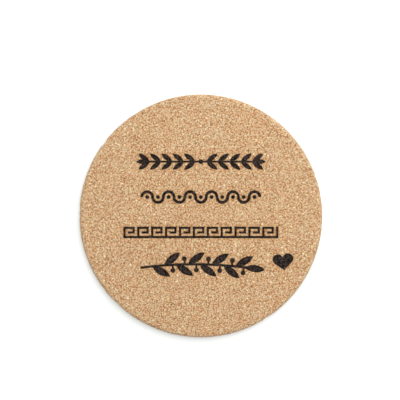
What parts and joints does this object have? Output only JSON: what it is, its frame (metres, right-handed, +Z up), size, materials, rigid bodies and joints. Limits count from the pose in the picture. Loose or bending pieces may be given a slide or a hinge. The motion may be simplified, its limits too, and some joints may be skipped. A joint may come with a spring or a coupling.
{
  "type": "drink coaster",
  "caption": "Round cork coaster with rounded edges, burnt rows of laurel, wave, key and olive ornament, and a small burnt heart.",
  "frame": {"origin": "centre of the underside, on the table", "axes": "+Z up out of the top face, +Y towards the top of the burnt design, +X to its right"},
  "size_m": [0.1, 0.1, 0.004],
  "materials": {
    "cork": "fine-grained agglomerated cork, sanded and left raw",
    "char": "charred cork, matt and near black"
  },
  "bodies": {
    "root": {"cork_disc": "cork", "burnt_laurel_row": "char", "burnt_wave_row": "char", "burnt_key_row": "char", "burnt_olive_row": "char", "burnt_heart": "char"}
  },
  "joints": []
}
